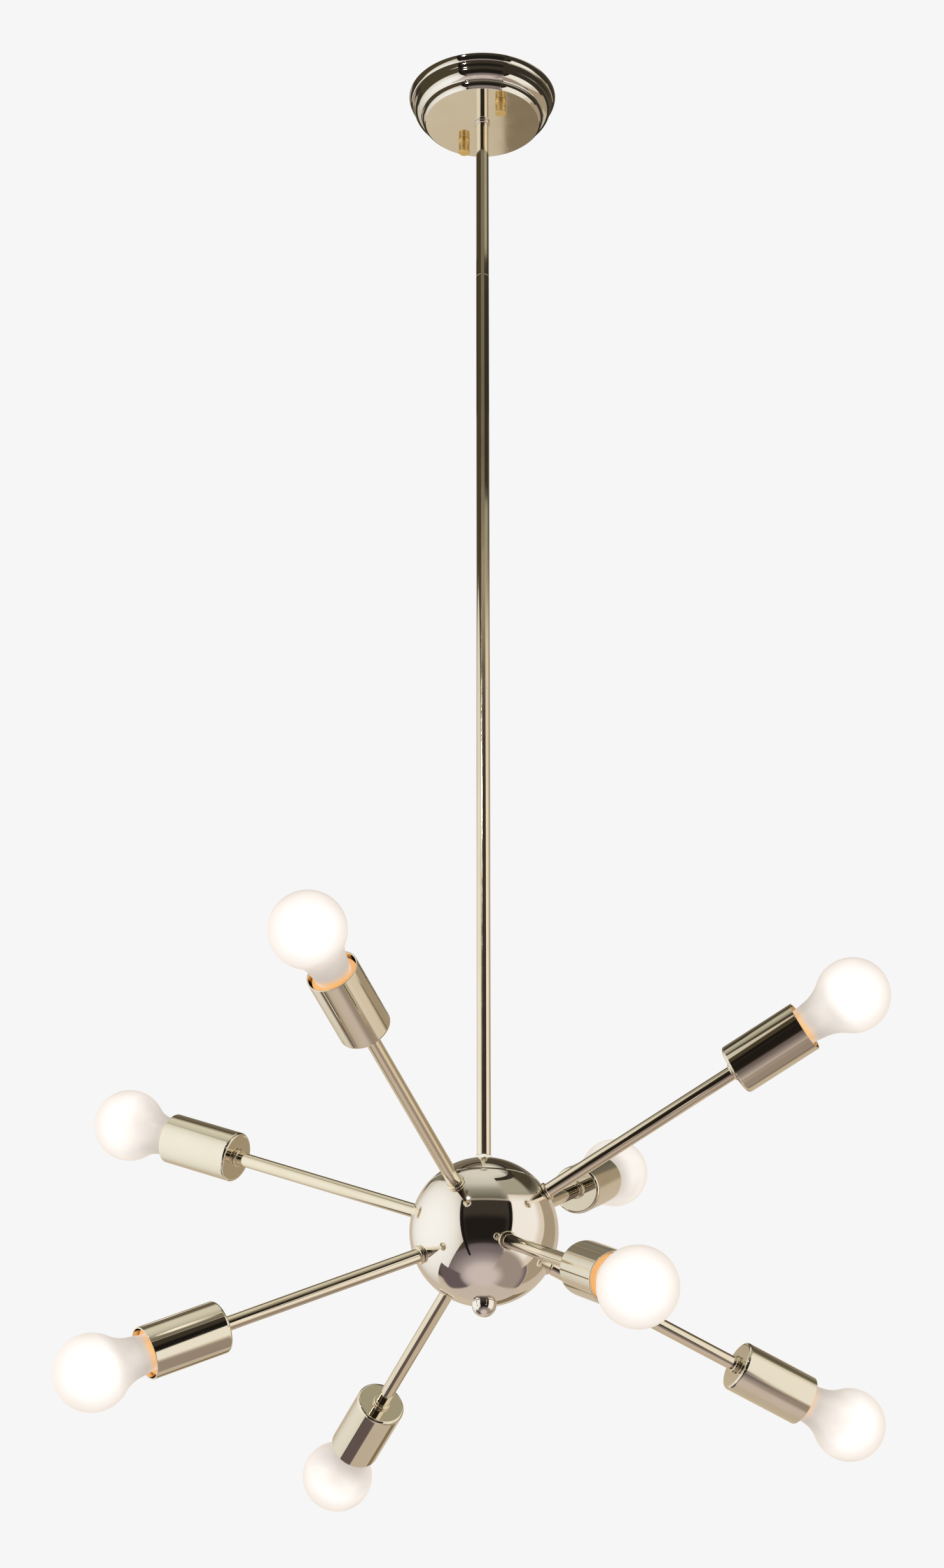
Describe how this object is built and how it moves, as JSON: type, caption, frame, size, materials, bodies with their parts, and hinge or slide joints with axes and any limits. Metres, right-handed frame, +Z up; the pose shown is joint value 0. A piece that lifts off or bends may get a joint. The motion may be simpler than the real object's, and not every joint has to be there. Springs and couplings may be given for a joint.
{
  "type": "sputnik chandelier",
  "caption": "Ceiling chandelier: stepped canopy, rod stem and a polished ball whose radiating arms end in cups with frosted bulbs.",
  "frame": {"origin": "centre of the crossbar's top face, on the ceiling plane, on the stem's axis", "axes": "+Z up along the stem, towards the ceiling; +X along the crossbar through the two cap nuts; +Y level, completing the right-handed frame"},
  "size_m": [0.7089, 0.7083, 1.3034],
  "materials": {
    "plating": "mirror-polished champagne-gold plating",
    "gold_trim": "polished yellow brass",
    "steel": "zinc-plated steel",
    "ground": "green screw",
    "holder": "cream moulded socket",
    "bulb_glass": "frosted, lit",
    "bulb_base": "nickel-plated screw shell",
    "lead": "insulated wire",
    "block": "moulded terminal block",
    "connector": "twist-on connector"
  },
  "bodies": {
    "chandelier": {"arm_check_rings": "plating", "arm_leads": "lead", "arm_lock_nuts": "steel", "arm_rods": "steel", "arm_tube_1": "plating", "arm_tube_2": "plating", "arm_tube_3": "plating", "arm_tube_4": "plating", "arm_tube_5": "plating", "arm_tube_6": "plating", "arm_tube_7": "plating", "arm_tube_8": "plating", "ball_body": "plating", "ball_lid": "plating", "ball_nut": "plating", "ball_rod": "steel", "canopy": "plating", "canopy_collar": "gold_trim", "canopy_nipple": "steel", "crossbar": "steel", "crossbar_studs": "steel", "finial": "plating", "ground_screw": "ground", "lampholders": "holder", "rod_lock_nuts": "steel", "socket_cup_1": "plating", "socket_cup_2": "plating", "socket_cup_3": "plating", "socket_cup_4": "plating", "socket_cup_5": "plating", "socket_cup_6": "plating", "socket_cup_7": "plating", "socket_cup_8": "plating", "stem_couplers": "steel", "stem_lower": "plating", "stem_middle": "plating", "stem_upper": "plating", "stud_lock_nuts": "steel", "supply_leads": "lead", "terminal_block": "block", "wire_connectors": "connector"},
    "bulb_1": {"bulb_glass_1": "bulb_glass", "bulb_base_1": "bulb_base"},
    "bulb_2": {"bulb_glass_2": "bulb_glass", "bulb_base_2": "bulb_base"},
    "bulb_3": {"bulb_glass_3": "bulb_glass", "bulb_base_3": "bulb_base"},
    "bulb_4": {"bulb_glass_4": "bulb_glass", "bulb_base_4": "bulb_base"},
    "bulb_5": {"bulb_glass_5": "bulb_glass", "bulb_base_5": "bulb_base"},
    "bulb_6": {"bulb_glass_6": "bulb_glass", "bulb_base_6": "bulb_base"},
    "bulb_7": {"bulb_glass_7": "bulb_glass", "bulb_base_7": "bulb_base"},
    "bulb_8": {"bulb_glass_8": "bulb_glass", "bulb_base_8": "bulb_base"},
    "cap_nut_1": {"cap_nut_1": "gold_trim"},
    "cap_nut_2": {"cap_nut_2": "gold_trim"}
  },
  "joints": [
    {"name": "bulb_1_unscrew", "type": "slide", "parent": "chandelier", "child": "bulb_1", "axis": [0.7332, 0.5327, 0.4226], "range_m": [0, 0.03]},
    {"name": "bulb_2_unscrew", "type": "slide", "parent": "chandelier", "child": "bulb_2", "axis": [0.0658, 0.9403, -0.3338], "range_m": [0, 0.03]},
    {"name": "bulb_3_unscrew", "type": "slide", "parent": "chandelier", "child": "bulb_3", "axis": [-0.5632, 0.6955, 0.4462], "range_m": [0, 0.03]},
    {"name": "bulb_4_unscrew", "type": "slide", "parent": "chandelier", "child": "bulb_4", "axis": [-0.9385, 0.1152, -0.3256], "range_m": [0, 0.03]},
    {"name": "bulb_5_unscrew", "type": "slide", "parent": "chandelier", "child": "bulb_5", "axis": [-0.7204, -0.573, 0.3907], "range_m": [0, 0.03]},
    {"name": "bulb_6_unscrew", "type": "slide", "parent": "chandelier", "child": "bulb_6", "axis": [-0.1256, -0.8938, -0.4305], "range_m": [0, 0.03]},
    {"name": "bulb_7_unscrew", "type": "slide", "parent": "chandelier", "child": "bulb_7", "axis": [0.558, -0.7405, 0.3746], "range_m": [0, 0.03]},
    {"name": "bulb_8_unscrew", "type": "slide", "parent": "chandelier", "child": "bulb_8", "axis": [0.8975, -0.1502, -0.4147], "range_m": [0, 0.03]},
    {"name": "cap_nut_1_unscrew", "type": "slide", "parent": "chandelier", "child": "cap_nut_1", "axis": [0, 0, -1], "range_m": [0, 0.0095]},
    {"name": "cap_nut_2_unscrew", "type": "slide", "parent": "chandelier", "child": "cap_nut_2", "axis": [0, 0, -1], "range_m": [0, 0.0095]}
  ]
}
